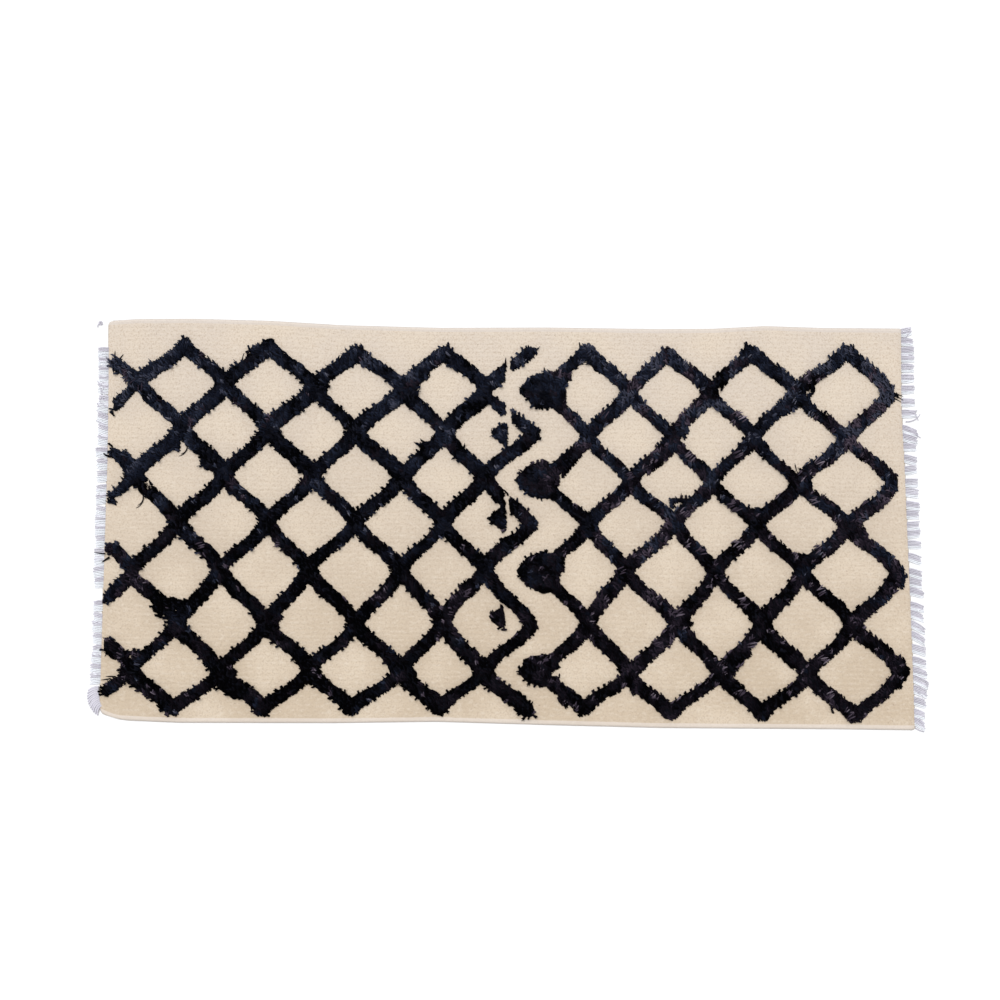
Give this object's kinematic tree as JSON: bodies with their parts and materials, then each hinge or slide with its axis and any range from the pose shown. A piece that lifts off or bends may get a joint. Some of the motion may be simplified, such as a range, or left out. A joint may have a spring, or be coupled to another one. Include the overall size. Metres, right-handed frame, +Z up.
{
  "type": "kilim rug",
  "caption": "Flat-lying woven wool rug with a raised black pile lattice of diamonds on a cream ground and a short cotton fringe at each end.",
  "frame": {"origin": "middle of the underside, where the middle lines of the woven field cross", "axes": "+X along the rug towards its right end, +Y across it towards its far long edge, +Z up out of the pile"},
  "size_m": [2.0916, 1.017, 0.0173],
  "materials": {
    "ground_wool": "undyed cream wool, weft-faced plain weave, matt",
    "pile_wool": "black wool, shaggy hand-knotted pile with greyer worn strands, matt",
    "fringe_cotton": "bleached cotton warp ends in knotted tassels, matt"
  },
  "bodies": {
    "root": {"ground": "ground_wool", "fringe_left": "fringe_cotton", "fringe_right": "fringe_cotton", "pile_left": "pile_wool", "pile_right": "pile_wool", "pile_end": "pile_wool", "pile_leaf": "pile_wool"}
  },
  "joints": []
}
